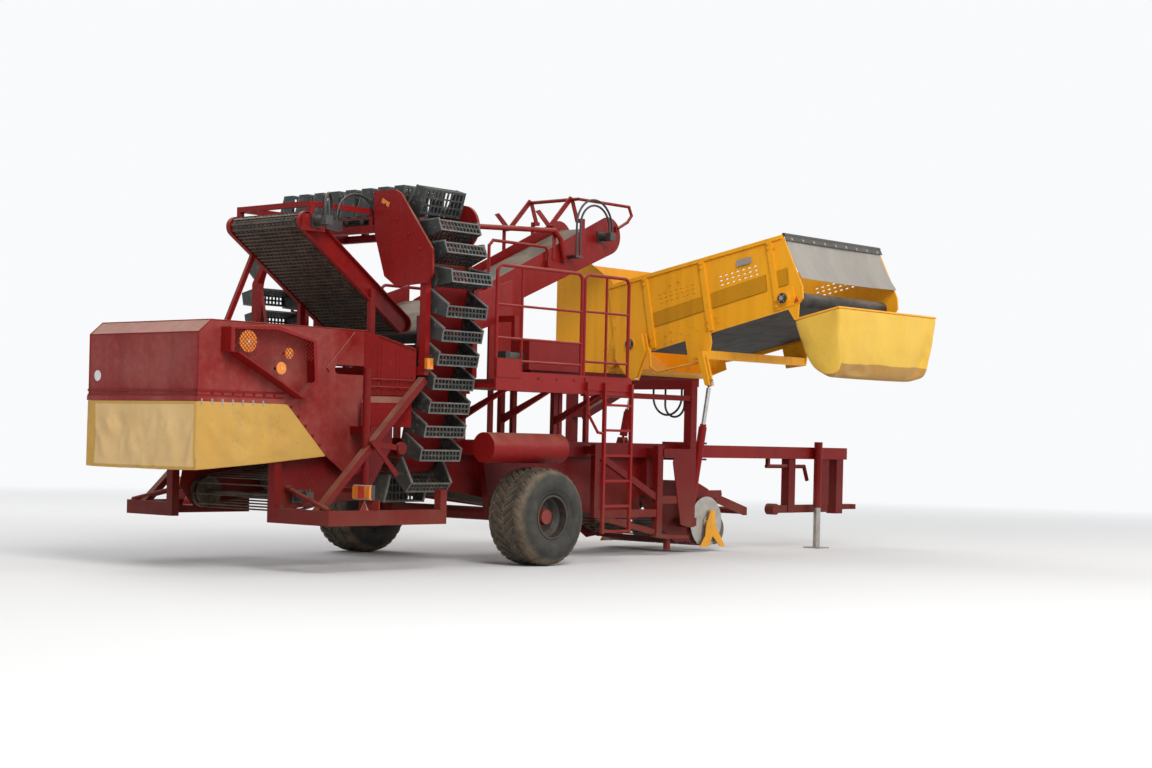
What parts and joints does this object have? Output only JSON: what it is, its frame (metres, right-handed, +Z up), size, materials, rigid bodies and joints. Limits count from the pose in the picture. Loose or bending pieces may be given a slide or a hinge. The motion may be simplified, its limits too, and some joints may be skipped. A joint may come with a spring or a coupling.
{
  "type": "trailed potato harvester",
  "caption": "Trailed two-row potato harvester with ring elevator, picking platform, digging unit and a side-unloading bunker with a canvas bag.",
  "frame": {"origin": "middle of the overall box, on the ground under the wheels", "axes": "+X forward towards the tow eye, +Y to the machine's left, +Z up"},
  "size_m": [10.189, 4.06, 3.92],
  "materials": {
    "red_paint": "faded, dusty red enamel",
    "yellow_paint": "yellow enamel, worn at the edges",
    "canvas": "coated yellow canvas",
    "black_rubber": "worn black rubber",
    "tyre_rubber": "dusty tyre rubber",
    "bare_steel": "polished by soil",
    "web_steel": "dark soil-worn rods",
    "black_plastic": "black moulded plastic",
    "chrome": "chromed rods",
    "lamp": "red and amber lenses"
  },
  "bodies": {
    "frame": {"chassis": "red_paint", "axle": "red_paint", "channel_sides": "red_paint", "rear_frame": "red_paint", "ring_frame": "red_paint", "ring_guide": "red_paint", "ring_chains": "web_steel", "ring_pockets": "black_plastic", "ring_cover": "red_paint", "steep_web": "web_steel", "steep_web_frame": "red_paint", "hood": "red_paint", "curtain": "canvas", "side_guard": "red_paint", "flared_panel": "red_paint", "rear_web": "web_steel", "main_web": "web_steel", "tank": "red_paint", "platform": "red_paint", "railing": "red_paint", "ladder": "red_paint", "picking_table": "red_paint", "table_belt": "black_rubber", "drive_guard": "red_paint", "tower": "red_paint", "bunker_end": "yellow_paint", "tail_lamps": "lamp", "side_panels": "red_paint", "side_frame": "red_paint", "overhead_bar": "red_paint", "hydraulics": "black_plastic", "hoses": "black_rubber", "transfer_trough": "red_paint", "transfer_belt": "black_rubber"},
    "wheel_right": {"tyre_right": "tyre_rubber", "rim_right": "red_paint"},
    "wheel_left": {"tyre_left": "tyre_rubber", "rim_left": "red_paint"},
    "bunker": {"bunker_walls": "yellow_paint", "bunker_belt": "black_rubber", "bunker_flap": "black_rubber", "bag": "canvas"},
    "outer_barrel": {"outer_barrel": "red_paint"},
    "outer_rod": {"outer_rod": "chrome"},
    "inner_barrel": {"inner_barrel": "red_paint"},
    "inner_rod": {"inner_rod": "chrome"},
    "drawbar": {"drawbar": "red_paint", "tow_neck": "red_paint", "drawbar_frame": "red_paint", "jack_tube": "red_paint"},
    "jack_leg": {"jack_leg": "bare_steel"},
    "steer_barrel": {"steer_barrel": "black_plastic"},
    "steer_rod": {"steer_rod": "chrome"},
    "digging_unit": {"digger_frame": "red_paint", "digger_web": "web_steel", "share_guard": "yellow_paint"},
    "coulter_right": {"coulter_right": "bare_steel"},
    "coulter_left": {"coulter_left": "bare_steel"},
    "depth_rollers": {"depth_rollers": "black_rubber"}
  },
  "joints": [
    {"name": "wheel_right_spin", "type": "hinge", "parent": "frame", "child": "wheel_right", "pos_m": [-1.3805, -0.72, 0.4725], "axis": [0, 1, 0], "continuous": true},
    {"name": "wheel_left_spin", "type": "hinge", "parent": "frame", "child": "wheel_left", "pos_m": [-1.3805, 1.78, 0.4725], "axis": [0, 1, 0], "continuous": true},
    {"name": "drawbar_steer", "type": "hinge", "parent": "frame", "child": "drawbar", "pos_m": [1.9195, -0.07, 1.125], "axis": [0, 0, 1], "range_deg": [-20, 20]},
    {"name": "steer_barrel_swing", "type": "hinge", "parent": "frame", "child": "steer_barrel", "pos_m": [1.6795, 0.35, 1.125], "axis": [0, 0, 1], "range_deg": [-10.5, 10.5]},
    {"name": "steer_rod_slide", "type": "slide", "parent": "steer_barrel", "child": "steer_rod", "axis": [0.9402, -0.3406, 0], "range_m": [-0.112, 0.112]},
    {"name": "jack_leg_slide", "type": "slide", "parent": "drawbar", "child": "jack_leg", "axis": [0, 0, 1], "range_m": [0, 0.38]},
    {"name": "bunker_lift", "type": "hinge", "parent": "frame", "child": "bunker", "pos_m": [2.7445, 1.08, 2.12], "axis": [-1, 0, 0], "range_deg": [-6, 9]},
    {"name": "outer_barrel_swing", "type": "hinge", "parent": "frame", "child": "outer_barrel", "pos_m": [1.7295, -0.15, 0.36], "axis": [-1, 0, 0], "range_deg": [-0.6, 0.8]},
    {"name": "outer_rod_slide", "type": "slide", "parent": "outer_barrel", "child": "outer_rod", "axis": [0, -0.1623, 0.9867], "range_m": [-0.17, 0.25]},
    {"name": "inner_barrel_swing", "type": "hinge", "parent": "frame", "child": "inner_barrel", "pos_m": [1.7295, 0.83, 1.23], "axis": [-1, 0, 0], "range_deg": [-1.4, 1.2]},
    {"name": "inner_rod_slide", "type": "slide", "parent": "inner_barrel", "child": "inner_rod", "axis": [0, -0.2095, 0.9778], "range_m": [-0.05, 0.075]},
    {"name": "digger_lift", "type": "hinge", "parent": "frame", "child": "digging_unit", "pos_m": [1.0195, 0.59, 0.7], "axis": [0, 1, 0], "range_deg": [-14, 2]},
    {"name": "coulter_right_spin", "type": "hinge", "parent": "digging_unit", "child": "coulter_right", "pos_m": [2.0995, -0.11, 0.34], "axis": [0, 1, 0], "continuous": true},
    {"name": "coulter_left_spin", "type": "hinge", "parent": "digging_unit", "child": "coulter_left", "pos_m": [2.0995, 1.29, 0.34], "axis": [0, 1, 0], "continuous": true},
    {"name": "depth_rollers_spin", "type": "hinge", "parent": "digging_unit", "child": "depth_rollers", "pos_m": [2.4595, 0.59, 0.24], "axis": [0, 1, 0], "continuous": true}
  ],
  "couplings": [
    {"joint": "steer_barrel_swing", "follows": "drawbar_steer", "ratio": 0.4975},
    {"joint": "steer_rod_slide", "follows": "drawbar_steer", "m_per_rad": -0.312},
    {"joint": "outer_barrel_swing", "follows": "bunker_lift", "ratio": 0.0275},
    {"joint": "outer_rod_slide", "follows": "bunker_lift", "m_per_rad": 1.496},
    {"joint": "inner_barrel_swing", "follows": "bunker_lift", "ratio": -0.1225},
    {"joint": "inner_rod_slide", "follows": "bunker_lift", "m_per_rad": 0.432}
  ]
}
